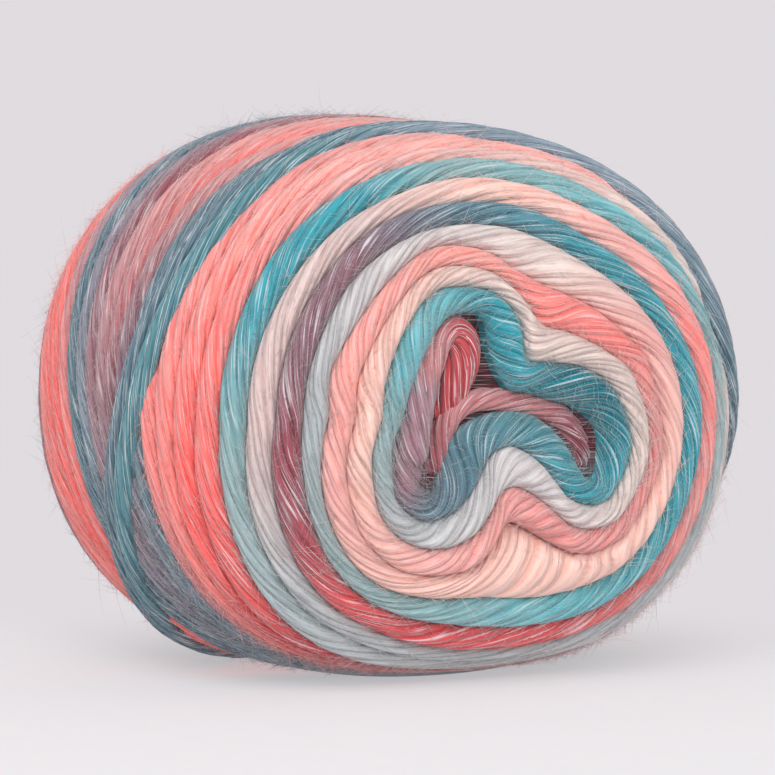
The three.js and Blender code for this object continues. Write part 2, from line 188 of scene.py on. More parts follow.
# turn, then the distance along the form of the edges after the fourth to the eighth turn
endTurns = [
    (0, 23.5, 26.8, 30.5, 34.3, 38.2), (30, 26.8, 28.9, 33.0, 36.3, 39.7),
    (60, 30.0, 32.8, 36.6, 39.7, 44.0), (90, 30.2, 35.2, 40.3, 43.7, 47.5),
    (120, 31.6, 36.2, 40.3, 44.0, 47.8), (150, 29.3, 33.5, 37.8, 41.5, 45.3),
    (180, 28.1, 32.4, 36.6, 40.4, 44.2), (210, 26.0, 29.6, 35.0, 38.8, 42.6),
    (240, 24.9, 29.0, 34.0, 39.0, 43.0), (270, 27.8, 32.0, 37.0, 41.8, 45.5),
    (300, 28.2, 32.0, 35.4, 40.2, 43.8), (330, 26.7, 30.4, 34.0, 38.3, 42.0),
    (360, 26.8, 30.5, 34.3, 38.2, 41.9),
]


def readColumn(table, turn, column):  # smooth curve through the rows
    t = np.array([row[0] for row in table], float)
    v = np.array([row[column] for row in table], float)
    i = np.clip(np.searchsorted(t, turn, side="left") - 1, 0, len(t) - 2)
    before, after = np.maximum(i - 1, 0), np.minimum(i + 2, len(t) - 1)
    width = t[i + 1] - t[i]
    slopeA = (v[i + 1] - v[before]) / np.maximum(t[i + 1] - t[before], 1) * width
    slopeB = (v[after] - v[i]) / np.maximum(t[after] - t[i], 1) * width
    s = (turn - t[i]) / width
    rise = v[i + 1] - v[i]
    curve = v[i] + s * slopeA + s * s * (3 * rise - 2 * slopeA - slopeB)
    return curve + s**3 * (slopeA + slopeB - 2 * rise)


def slantOf(run, clock):
    lean = smoothStep(run, 42, 72) * (1 - smoothStep(run, 80, 118))
    return winding["slant"] * lean * np.sin(clock - math.radians(winding["slantClock"]))


def edgeOf(k, turn):  # flat map of the form: distance along it times sine and cosine of the clock angle
    clock = np.radians(270 - turn)
    eye = lambda column: readColumn(eyeSections, turn, column)
    if k <= 0:
        return np.stack([eye(1), eye(2)], -1)
    if k == 1:
        return np.stack([eye(3), eye(4)], -1)
    if k == 2:
        return np.stack([(eye(3) + eye(5)) / 2, (eye(4) + eye(6)) / 2], -1)
    if k == 3:
        return np.stack([eye(5), eye(6)], -1)
    if k <= winding["nearTurns"]:
        run = readColumn(endTurns, turn, k - 3)
    else:
        first = endTurns[0][5]
        even = first + winding["turnWidth"] * (k - winding["nearTurns"] + turn / 360)
        uneven = readColumn(endTurns, turn, 5) - first - winding["turnWidth"] * turn / 360
        run = even + uneven * max(0, 1 - (k - winding["nearTurns"]) / winding["wobbleTurns"])
        run = run + slantOf(run, clock)
    return np.stack([run * np.sin(clock), run * np.cos(clock)], -1)


def sinkOf(turns):
    near = np.clip(1 - turns / winding["sinkTurns"], 0, None) ** 1.6
    far = np.clip(1 - (winding["turns"] + 1 - turns) / winding["sinkTurns"], 0, None) ** 1.6
    return winding["eyeSink"] * near + winding["dimpleSink"] * far


def raised(flat, height, sink):  # flat map to the form, raised along the normal and sunk along the axis
    run = np.hypot(flat[..., 0], flat[..., 1])
    clock = np.arctan2(flat[..., 0], flat[..., 1])
    place = onForm(run, clock)
    normal = formNormal(run, clock)
    press = smoothStep(place[..., 2], tableHeight + 0.4, tableHeight + 6)
    place = place + normal * (height * press)[..., None]
    place[..., 0] -= np.sign(place[..., 0]) * sink
    return place


# dyes
dyes = {
    "plum": (112, 52, 62), "maroon": (150, 78, 90), "mauve": (158, 122, 132), "red": (206, 84, 88),
    "brightCoral": (240, 112, 107), "coral": (240, 138, 132), "rose": (222, 150, 146),
    "blush": (232, 172, 166), "peach": (238, 196, 184), "cream": (220, 200, 193),
    "pearl": (206, 198, 198), "silver": (178, 182, 184), "greyAqua": (142, 172, 174),
    "aqua": (108, 176, 184), "teal": (57, 150, 163), "deepTeal": (24, 117, 131),
    "slate": (92, 120, 134), "steel": (124, 142, 156), "darkSlate": (54, 84, 98),
    "dustyRose": (190, 128, 130), "salmon": (240, 168, 160), "seaSlate": (82, 134, 144),
    "heather": (140, 102, 114), "paleRose": (210, 186, 182), "garnet": (180, 72, 78),
}
# turns along the spiral, and the dye there
dyeRun = [
    (0.00, "mauve"), (0.10, "mauve"), (0.16, "slate"), (0.22, "slate"), (0.28, "seaSlate"),
    (0.35, "teal"), (0.42, "teal"), (0.50, "deepTeal"), (0.60, "deepTeal"), (0.68, "teal"),
    (0.76, "teal"), (0.82, "aqua"), (0.92, "aqua"), (1.02, "greyAqua"), (1.12, "silver"),
    (1.32, "pearl"), (1.44, "cream"), (1.75, "cream"), (1.88, "peach"), (2.05, "peach"),
    (2.18, "blush"), (2.30, "rose"), (2.48, "rose"), (2.58, "coral"), (2.68, "coral"),
    (2.76, "salmon"), (2.97, "salmon"), (3.07, "blush"), (3.20, "peach"), (3.42, "peach"),
    (3.56, "blush"), (3.68, "cream"), (3.82, "pearl"), (3.97, "silver"), (4.18, "greyAqua"),
    (4.30, "aqua"), (4.45, "teal"), (4.64, "teal"), (4.78, "slate"), (4.86, "heather"),
    (4.95, "heather"), (5.02, "maroon"), (5.07, "maroon"), (5.15, "red"), (5.30, "red"),
    (5.42, "rose"), (5.54, "coral"), (5.64, "blush"), (5.74, "peach"), (5.84, "paleRose"),
    (6.00, "paleRose"), (6.12, "silver"), (6.38, "silver"), (6.52, "greyAqua"), (6.64, "aqua"),
    (6.76, "greyAqua"), (6.83, "teal"), (6.92, "teal"), (7.02, "greyAqua"), (7.18, "silver"),
    (7.40, "pearl"), (7.62, "cream"), (7.80, "blush"), (7.93, "coral"), (8.02, "brightCoral"),
    (8.16, "red"), (8.35, "red"), (8.60, "blush"), (8.82, "salmon"), (9.02, "brightCoral"),
    (9.16, "red"), (9.40, "rose"), (9.62, "peach"), (9.82, "rose"), (10.0, "coral"), (10.15, "coral"),
    (10.4, "cream"), (10.6, "silver"), (10.8, "rose"), (11.0, "coral"), (11.2, "mauve"),
    (11.5, "slate"), (12.0, "slate"), (12.5, "steel"), (12.8, "rose"), (12.95, "heather"),
    (13.1, "steel"), (13.2, "slate"), (13.5, "silver"), (13.8, "coral"), (14.0, "heather"),
    (14.15, "slate"), (14.5, "cream"), (14.82, "rose"), (15.0, "mauve"), (15.18, "slate"),
    (15.5, "pearl"), (15.82, "maroon"), (16.0, "mauve"), (16.15, "steel"), (16.5, "silver"),
    (16.8, "mauve"), (17.0, "steel"), (17.15, "darkSlate"), (17.5, "teal"), (17.8, "slate"),
    (18.0, "slate"), (18.15, "slate"), (18.5, "mauve"), (18.83, "steel"), (19.0, "coral"),
    (19.15, "brightCoral"), (19.5, "peach"), (19.83, "coral"), (20.0, "brightCoral"),
    (20.15, "brightCoral"), (20.5, "blush"), (20.83, "coral"), (21.0, "brightCoral"), (21.5, "cream"),
    (21.8, "blush"), (22.0, "coral"), (22.4, "red"), (22.8, "maroon"), (23.2, "mauve"),
    (23.5, "slate"), (23.8, "teal"), (24.2, "deepTeal"), (24.6, "aqua"), (25.0, "greyAqua"),
    (25.3, "silver"), (25.7, "cream"), (26.1, "peach"), (26.5, "coral"), (26.9, "brightCoral"),
    (27.2, "red"), (27.5, "maroon"), (27.8, "steel"), (28.1, "slate"), (28.5, "teal"), (28.9, "aqua"),
    (29.3, "silver"), (29.7, "pearl"), (30.1, "cream"), (30.5, "peach"), (31.0, "rose"),
    (31.5, "coral"), (32.0, "red"), (32.4, "mauve"), (32.8, "slate"), (33.4, "teal"),
    (35.5, "deepTeal"),
]


def linearColour(value):
    value = np.asarray(value, float) / 255
    return np.where(value <= 0.04045, value / 12.92, ((value + 0.055) / 1.055) ** 2.4)


def dyeAt(turns):
    places = [row[0] for row in dyeRun]
    colours = np.array([linearColour(dyes[row[1]]) for row in dyeRun])
    return np.stack([np.interp(turns, places, colours[:, i]) for i in range(3)], -1)


# mesh helpers
def makeMesh(name, verts, faces, colours, uvs, sharp=()):  # verts in metres, the rest for each corner
    mesh = bpy.data.meshes.new(name)
    count = len(faces)
    mesh.vertices.add(len(verts))
    mesh.vertices.foreach_set("co", verts.astype(np.float32).ravel())
    mesh.loops.add(count * 3)
    mesh.loops.foreach_set("vertex_index", faces.astype(np.int32).ravel())
    mesh.polygons.add(count)
    mesh.polygons.foreach_set("loop_start", np.arange(0, count * 3, 3, dtype=np.int32))
    layer = mesh.uv_layers.new(name="yarnRun")
    layer.data.foreach_set("uv", uvs.astype(np.float32).ravel())
    dye = mesh.color_attributes.new("dye", "FLOAT_COLOR", "CORNER")
    rgba = np.concatenate([colours.reshape(-1, 3), np.ones((count * 3, 1))], 1)
    dye.data.foreach_set("color", rgba.astype(np.float32).ravel())
    mesh.update(calc_edges=True)
    mesh.polygons.foreach_set("use_smooth", np.ones(count, dtype=bool))
    if len(sharp):  # edges between two of these points stay sharp
        ends = np.zeros(len(mesh.edges) * 2, dtype=np.int32)
        mesh.edges.foreach_get("vertices", ends)
        flagged = np.zeros(len(verts), dtype=bool)
        flagged[sharp] = True
        mesh.edges.foreach_set("use_edge_sharp", flagged[ends.reshape(-1, 2)].all(1))
    piece = bpy.data.objects.new(name, mesh)
    bpy.context.collection.objects.link(piece)
    return piece


def halved(quads):  # two triangles from each quad
    return np.concatenate([quads[:, [0, 1, 2]], quads[:, [0, 2, 3]]])


def waves(turns, *rates):  # slow uneven line along the whole spiral
    lines = [np.sin(2 * np.pi * rate * turns + 5.1 * i + 1) for i, rate in enumerate(rates)]
    return sum(lines) / len(rates)


# yarn material
yarnLook = {
    "roughness": 0.85,
    "sheen": 0.3,
    "sheenRoughness": 0.45,
    "shine": 0.25,
    "paleFibreAndGlint": (0.78, 0.81, 0.83, 1),
    "shadeTint": (0.45, 0.42, 0.45, 1),
    "creaseShade": 0.62,
    "bumpDepth": 0.0007,
    "bumpStrength": 0.6,
}
fuzzLook = {"roughness": 0.6, "sheen": 0.2, "shine": 0.3, "pale": (0.80, 0.80, 0.79, 1)}


def addNode(tree, kind, **values):
    node = tree.nodes.new(kind)
    for key, value in values.items():
        setattr(node, key, value)
    return node


def plug(tree, value, socket):
    if isinstance(value, (int, float, tuple)):
        socket.default_value = value
    else:
        tree.links.new(value, socket)


def mathNode(tree, operation, a, b=0.0):
    node = addNode(tree, "ShaderNodeMath", operation=operation)
    plug(tree, a, node.inputs[0])
    plug(tree, b, node.inputs[1])
    return node.outputs[0]


def rampNode(tree, factor, low, high, start=0.0, end=1.0):
    node = addNode(tree, "ShaderNodeMapRange", interpolation_type="SMOOTHSTEP")
    for i, value in enumerate((factor, low, high, start, end)):
        plug(tree, value, node.inputs[i])
    return node.outputs[0]


def mixColour(tree, blend, factor, a, b):
    node = addNode(tree, "ShaderNodeMix", data_type="RGBA", blend_type=blend)
    for socket, value in ((node.inputs[0], factor), (node.inputs[6], a), (node.inputs[7], b)):
        plug(tree, value, socket)
    return node.outputs[2]


def fibreNoise(tree, along, ply, alongScale, plyScale, detail=2.0):
    joined = addNode(tree, "ShaderNodeCombineXYZ")
    tree.links.new(mathNode(tree, "MULTIPLY", along, alongScale), joined.inputs[0])
    tree.links.new(mathNode(tree, "MULTIPLY", ply, plyScale), joined.inputs[1])
    noise = addNode(tree, "ShaderNodeTexNoise")
    noise.inputs["Scale"].default_value = 1.0
    noise.inputs["Detail"].default_value = detail
    noise.inputs["Roughness"].default_value = 0.6
    tree.links.new(joined.outputs[0], noise.inputs["Vector"])
    return noise.outputs[0]


def newMaterial(name, roughness, sheen, specular):
    material = bpy.data.materials.new(name)
    material.use_nodes = True
    tree = material.node_tree
    shader = tree.nodes["Principled BSDF"]
    shader.inputs["Roughness"].default_value = roughness
    shader.inputs["Sheen Weight"].default_value = sheen
    shader.inputs["Sheen Roughness"].default_value = yarnLook["sheenRoughness"]
    shader.inputs["Specular IOR Level"].default_value = specular
    dye = addNode(tree, "ShaderNodeAttribute", attribute_name="dye").outputs["Color"]
    parts = addNode(tree, "ShaderNodeSeparateXYZ")
    tree.links.new(addNode(tree, "ShaderNodeUVMap", uv_map="yarnRun").outputs[0], parts.inputs[0])
    return material, tree, shader, dye, parts.outputs[0], parts.outputs[1]


def makeYarnMaterial():
    begun = newMaterial("spunYarn", yarnLook["roughness"], yarnLook["sheen"], yarnLook["shine"])
    material, tree, shader, dye, along, ply = begun
    # along is centimetres of yarn, ply counts the plies round it, with a crease between two at every half
    crest = mathNode(tree, "ABSOLUTE", mathNode(tree, "COSINE", mathNode(tree, "MULTIPLY", ply, math.pi)))
    fine = fibreNoise(tree, along, ply, 2.4, 5.0)
    strand = fibreNoise(tree, along, ply, 1.1, 1.7, 1.0)
    glint = fibreNoise(tree, along, ply, 1.2, 6.6, 1.5)
    dark = fibreNoise(tree, along, ply, 1.4, 3.1, 1.0)
    # painted shade in the ply creases: the dye times itself gives a deeper tone, mixed in where the plies
    # meet; the fibre noise below also mixes it in, as random darker fibres
    deep = mixColour(tree, "MULTIPLY", 0.8, dye, dye)
    crease = mathNode(tree, "MULTIPLY", rampNode(tree, crest, 0.55, 0.05), yarnLook["creaseShade"])
    colour = mixColour(tree, "MIX", crease, dye, deep)
    colour = mixColour(tree, "MIX", rampNode(tree, fine, 0.54, 0.3, 0.0, 0.55), colour, deep)
    colour = mixColour(tree, "MIX", rampNode(tree, strand, 0.48, 0.28, 0.0, 0.5), colour, deep)
    shade = rampNode(tree, dark, 0.6, 0.74, 0.0, 0.6)
    colour = mixColour(tree, "MULTIPLY", shade, colour, yarnLook["shadeTint"])
    # pale fibres painted into the colour, partly real pale filament and partly painted highlight where
    # fibres shine; more of them on the dark and cool dyes
    tone = addNode(tree, "ShaderNodeRGBToBW")
    tree.links.new(dye, tone.inputs[0])
    share = rampNode(tree, tone.outputs[0], 0.12, 0.5, 0.95, 0.4)
    pale = mathNode(tree, "MULTIPLY", rampNode(tree, glint, 0.53, 0.68), share)
    paleFibreAndGlintDye = mixColour(tree, "MIX", 0.6, dye, yarnLook["paleFibreAndGlint"])
    colour = mixColour(tree, "MIX", pale, colour, paleFibreAndGlintDye)
    tree.links.new(colour, shader.inputs["Base Color"])
    relief = mathNode(tree, "ADD", crest, mathNode(tree, "MULTIPLY", fine, 0.8))
    relief = mathNode(tree, "ADD", relief, mathNode(tree, "MULTIPLY", glint, 0.5))
    bump = addNode(tree, "ShaderNodeBump")
    bump.inputs["Strength"].default_value = yarnLook["bumpStrength"]
    bump.inputs["Distance"].default_value = yarnLook["bumpDepth"]
    tree.links.new(relief, bump.inputs["Height"])
    tree.links.new(bump.outputs[0], shader.inputs["Normal"])
    return material


def makeFuzzMaterial():
    begun = newMaterial("looseFibre", fuzzLook["roughness"], fuzzLook["sheen"], fuzzLook["shine"])
    material, tree, shader, dye, along, ply = begun
    tone = fibreNoise(tree, along, ply, 3.0, 17.0)
    pale = rampNode(tree, tone, 0.35, 0.7, 0.05, 0.6)
    colour = mixColour(tree, "MIX", pale, dye, fuzzLook["pale"])
    tree.links.new(colour, shader.inputs["Base Color"])
    return material


yarnMaterial = makeYarnMaterial()
fuzzMaterial = makeFuzzMaterial()


def dress(piece, material):
    piece.data.materials.append(material)
    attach(piece, "root")
    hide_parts("wound_yarn")
    return piece


# the wound turns
# a row per piece: its first and last turn, points across one turn and points along it
windingPieces = [
    ("turnsEye", 0, 4, 24, 480),
    ("turnsEnd", 4, 8, 24, 520),
    ("turnsSide", 8, 20, 16, 400),
    ("turnsFar", 20, 33, 16, 340),
]


def edgeGrid(first, last, columns):  # the edges' flat map, a row for each edge from first to last, and the turns there
    turn = np.arange(columns) * 360.0 / columns
    edges = np.stack([edgeOf(k, turn) for k in range(first, last + 1)])
    turns = np.arange(first, last + 1)[:, None] + turn / 360
    run = np.linalg.norm(edges, axis=-1)
    stray = winding["wander"] * waves(turns, 2.3, 5.1, 9.7) * smoothStep(run, 16, 26)
    return edges * (1 + stray / np.maximum(run, 1))[..., None], turns


def grooveOf(k, turns):  # depth of the groove along edge k
    uneven = 1 + winding["grooveUneven"] * waves(turns, 3.7, 7.9, 13.3)
    groove = winding["groove"] * uneven * (1 - winding["sideTight"] * smoothStep(turns, 7, 10))
    if k == 3:
        groove = groove + readColumn(eyeSections, (turns - 3) * 360, 7)
    return groove


def plyPhase(turns, place):  # how many plies have passed by, along the yarn
    steps = np.linalg.norm(np.diff(place, axis=0), axis=1)
    side = smoothStep(turns, 1.5, 6)
    angle = np.radians(winding["plyAngleEye"] * (1 - side) + winding["plyAngleSide"] * side)
    rate = winding["plies"] * np.tan(angle) / (2 * np.pi * winding["yarnRadius"])
    rate = rate * (1 + 0.22 * waves(turns, 11.3, 17.9))
    length = np.concatenate([[0], np.cumsum(steps)])
    phase = np.concatenate([[0], np.cumsum(rate[:-1] * steps)])
    return length * 0.1, phase


def plyCount(phase, around):  # plies of uneven width, counted round and along the yarn
    ply = phase + around
    return ply + 0.2 * np.sin(2.3 * ply) + 0.14 * np.sin(0.9 * ply + 0.5) + 0.05 * np.sin(1.3 * phase)


def windingGrid(first, last, across, columns, start):  # start is the yarn and plies already laid
    edges, turns = edgeGrid(first, last + 2, columns)
    inner, outer = edges[:-1], edges[1:]
    turns = turns[:-1]
    count = len(inner)
    v = -np.cos(np.pi * np.arange(across) / across)  # crowded toward the grooves
    mix = ((v + 1) / 2)[None, :, None]
    flat = inner[:, None] * (1 - mix[..., None]) + outer[:, None] * mix[..., None]
    share = np.clip(np.linalg.norm(outer - inner, axis=-1) / 3.6, 0.3, 1.2)[:, None]
    grooves = np.stack([grooveOf(first + i, turns[0] + i) for i in range(count + 1)])
    groove = (grooves[:-1, None] * (1 - mix) + grooves[1:, None] * mix) * np.minimum(share, 1)
    rounded = ((1 - np.abs(v) ** 2.3) ** 0.6)[None, :, None]
    height = (winding["crown"] * share + groove) * rounded - groove
    middle = ((inner + outer) / 2).reshape(-1, 2)
    place = onForm(np.hypot(middle[:, 0], middle[:, 1]), np.arctan2(middle[:, 0], middle[:, 1]))
    length, phase = plyPhase(turns.ravel(), place)
    length, phase = length.reshape(count, columns) + start[0], phase.reshape(count, columns) + start[1]
    around = winding["plies"] * np.arcsin(v * 0.985) / (2 * np.pi)
    ply = plyCount(phase[:, None], around[None, :, None])
    flute = np.abs(np.cos(np.pi * ply)) ** 0.8
    uneven = 1 + winding["plyUneven"] * np.sin(np.round(ply) * 2.4 + length[:, None] * 2.1)
    depth = winding["plyDepth"] * (1 - 0.4 * smoothStep(turns, 6, 12))[:, None]
    height = height + depth * (flute - 0.65) * uneven * (0.3 + 0.7 * rounded) * np.minimum(share, 1)
    turnsAt = turns[:, None] + mix
    place = raised(flat, height, sinkOf(turnsAt))
    return place.reshape(count * across, columns, 3), length, phase, np.append(around, -around[0])


def windingPiece(name, first, last, across, columns, start):
    place, length, phase, around = windingGrid(first, last, across, columns, start)
    rowCount = (last - first) * across
    spare = (rowCount + 1) * columns
    # the first points of one more turn, where the spiral steps on
    body, step = place[: rowCount + 1], place[rowCount + 1 : rowCount + across + 1, 0]
    verts = np.concatenate([body.reshape(-1, 3), step])

    def at(row, column):
        row = np.where(column == columns, row + across, row)
        column = np.where(column == columns, 0, column)
        return np.where(row <= rowCount, row * columns + column, spare + row - rowCount - 1)

    grid = np.meshgrid(np.arange(rowCount), np.arange(columns), indexing="ij")
    row, column = (a.ravel() for a in grid)
    k, i = row // across, row % across

    def along(values, shift):
        ahead = column + shift
        return np.where(ahead < columns, values[k, np.minimum(ahead, columns - 1)], values[k + 1, 0])

    corners = ((row, column), (row, column + 1), (row + 1, column + 1), (row + 1, column))
    quads = np.stack([at(*corner) for corner in corners], 1)
    turnsAt = first + k + column / columns
    dye, dyeAhead = dyeAt(turnsAt), dyeAt(turnsAt + 1 / columns)
    colours = np.stack([dye, dyeAhead, dyeAhead, dye], 1)
    u = np.stack([along(length, 0), along(length, 1), along(length, 1), along(length, 0)], 1)
    p = np.stack([along(phase, 0), along(phase, 1), along(phase, 1), along(phase, 0)], 1)
    w = np.stack([around[i], around[i], around[i + 1], around[i + 1]], 1)
    uvs = np.stack([u, plyCount(p, w)], -1)
    shell = (verts, halved(quads), halved(colours), halved(uvs))
    loops = []
    for edge in (0, rowCount):
        ring = [int(at(edge, j)) for j in range(columns)]
        loops.append(ring + [int(at(edge + q, 0)) for q in range(across, 0, -1)])
    shell = closeEnd(shell, loops[0], first, True)
    shell = closeEnd(shell, loops[1], last, False)
    verts, faces, colours, uvs = shell
    faces, colours, uvs = faces[:, ::-1], colours[:, ::-1], uvs[:, ::-1]  # faces outward
    dress(makeMesh(name, toFrame(verts), faces, colours, uvs, loops[0] + loops[1]), yarnMaterial)
    return length[last - first, 0], phase[last - first, 0]


def closeEnd(shell, loop, turns, nearSide):
    verts, faces, colours, uvs = shell
    count = len(loop)
    ring = verts[loop]
    start = len(verts)
    here = np.arange(count)
    after = (here + 1) % count
    loop = np.array(loop)
    dye = linearColour(dyes["mauve"])
    if 0 < turns < winding["turns"]:  # hidden inside the ball, a cone to the axis
        tip = ring.mean(0)
        tip[0] *= winding["tipReach"]
        added = tip[None]
        new = np.stack([loop, np.full(count, start), loop[after]], 1)
        dyed = np.broadcast_to(dye * winding["tipShade"], (count, 3, 3))
    else:  # wall and floor of the recess in the ball's end
        floor = ring.copy()
        deep = winding["eyeFloor"] if nearSide else winding["dimpleFloor"]
        floor[:, 0] = ball["nearLength"] - deep if nearSide else deep - ball["farLength"]
        added = floor
        wall = np.stack([loop, start + here, start + after, loop[after]], 1)
        outline = [Vector((p[1], p[2], 0)) for p in floor]
        tiles = np.array(tessellate_polygon([outline]))
        a, b, c = (floor[tiles[:, n]][:, 1:] for n in range(3))
        area = (b[:, 0] - a[:, 0]) * (c[:, 1] - a[:, 1]) - (c[:, 0] - a[:, 0]) * (b[:, 1] - a[:, 1])
        tiles[area > 0] = tiles[area > 0][:, ::-1]
        y, z = floor[:, 1], floor[:, 2]
        if np.sum(y * np.roll(z, -1) - z * np.roll(y, -1)) < 0:
            tiles = tiles[:, ::-1]
        new = np.concatenate([halved(wall), start + tiles])
        floorDye = linearColour(dyes["plum" if nearSide else "slate"]) * winding["floorShade"]
        wallDye = dyeAt(turns + np.minimum(here / (count - 16), 1))
        walls = halved(np.repeat(wallDye[:, None], 4, 1) * winding["wallShade"])
        dyed = np.concatenate([walls, np.tile(floorDye, (len(tiles), 3, 1))])
    if not nearSide:
        new = new[:, ::-1]
        dyed = dyed[:, ::-1]
    verts = np.concatenate([verts, added])
    uv = verts[new][..., 1:] * np.array([0.1, 0.7])  # yarn lying level, 1.4 mm to a ply
    faces, colours = np.concatenate([faces, new]), np.concatenate([colours, dyed])
    return verts, faces, colours, np.concatenate([uvs, uv])


laid = (0.0, 0.0)
for row in windingPieces:
    laid = windingPiece(*row, laid)
print("turns wound")

# loose strands over the winding
strandLook = {
    "plies": 8,
    "depth": 0.3,
    "sides": 32,
    "eyePoints": 130,
    "eyeAngle": 24.0,
    "strayAngle": 11.0,
    "strayLift": 0.65,  # of the middle over the form, mm
    "step": 0.6,
}
# across, up and depth in mm from the middle of the eye, then the strand's radius
foldedStrand = [
    (-11.0, -7.8, 4.4, 2.2), (-11.5, -4.2, 4.0, 2.7), (-11.1, -0.4, 4.2, 2.7), (-10.0, 3.4, 4.5, 2.5),
    (-8.7, 7.2, 4.6, 2.4), (-7.4, 10.0, 4.7, 2.3), (-5.6, 11.2, 4.8, 2.3), (-4.3, 10.0, 5.0, 2.4),
    (-4.0, 7.2, 5.3, 2.6), (-4.9, 3.8, 6.0, 2.6), (-5.8, 0.8, 7.0, 2.5), (-6.4, -2.0, 7.8, 2.0),
]
crossStrand = [
    (-7.6, -9.6, 6.4, 1.5), (-7.0, -5.7, 6.1, 1.7), (-6.2, -2.4, 5.9, 1.7), (-4.6, 0.0, 5.8, 1.6),
    (-1.5, 1.2, 5.8, 1.6), (4.1, 0.7, 5.9, 1.6), (9.3, -1.1, 6.1, 1.7), (12.0, -3.7, 6.4, 1.7),
    (13.2, -7.1, 6.6, 1.7), (12.9, -9.6, 6.8, 1.5),
]
foldedDyes = [
    (0, "mauve"), (0.3, "mauve"), (0.4, "dustyRose"), (0.5, "dustyRose"), (0.62, "garnet"), (1, "garnet"),
]
crossDyes = [(0, "maroon"), (0.25, "dustyRose"), (0.6, "dustyRose"), (0.85, "maroon"), (1, "plum")]
farCoilLook = {
    "widest": 9.9,
    "turns": 3.0,
    "radius": 2.0,
    "depths": (3.4, 5.5),  # mm below the end, at its start and further in
    "dyes": [(0, "slate"), (0.25, "teal"), (0.5, "aqua"), (0.75, "silver"), (0.9, "cream"), (1, "peach")],
}
# two turns that stray over their neighbours side by side: clock angle from twelve, and how far
# along the form the middle between the two lies, mm
strayPath = [
    (0, 56.3), (12, 53.2), (24, 49.6), (40, 45.6), (56, 43.4), (72, 43.0), (90, 47.5), (110, 58.0),
    (130, 70.0), (150, 80.0), (170, 86.0), (185, 88.0), (200, 85.8), (215, 78.5), (230, 71.0),
    (245, 64.6), (260, 58.9), (275, 54.5), (290, 51.8), (304, 51.0), (318, 51.8), (332, 54.3),
    (348, 57.0), (360, 56.3),
]
# name, offset from that middle in mm, radius, and the dyes round it from twelve o'clock
strayTurns = [
    ("strayInner", -1.6, 1.65, [
        (0, "steel"), (0.1, "steel"), (0.2, "slate"), (0.45, "steel"), (0.62, "slate"), (0.72, "seaSlate"),
        (0.93, "seaSlate"), (1, "steel"),
    ]),
    ("strayOuter", 1.6, 1.65, [
        (0, "slate"), (0.1, "steel"), (0.3, "mauve"), (0.5, "steel"), (0.65, "slate"), (1, "slate"),
    ]),
]


def smoothPath(points, count):  # smooth curve through rows, at even steps
    points = np.array(points, float)
    n = len(points)
    t = np.linspace(0, n - 1, 40 * n)
    i = np.minimum(t.astype(int), n - 2)
    s = (t - i)[:, None]
    p0, p1, p2, p3 = (points[np.clip(i + q, 0, n - 1)] for q in (-1, 0, 1, 2))
    square, cube = 2 * p0 - 5 * p1 + 4 * p2 - p3, 3 * p1 - p0 - 3 * p2 + p3
    curve = 0.5 * (2 * p1 + (p2 - p0) * s + square * s**2 + cube * s**3)
    run = np.concatenate([[0], np.cumsum(np.linalg.norm(np.diff(curve[:, :3], axis=0), axis=1))])
    even = np.linspace(0, run[-1], count)
    return np.stack([np.interp(even, run, curve[:, c]) for c in range(curve.shape[1])], 1)


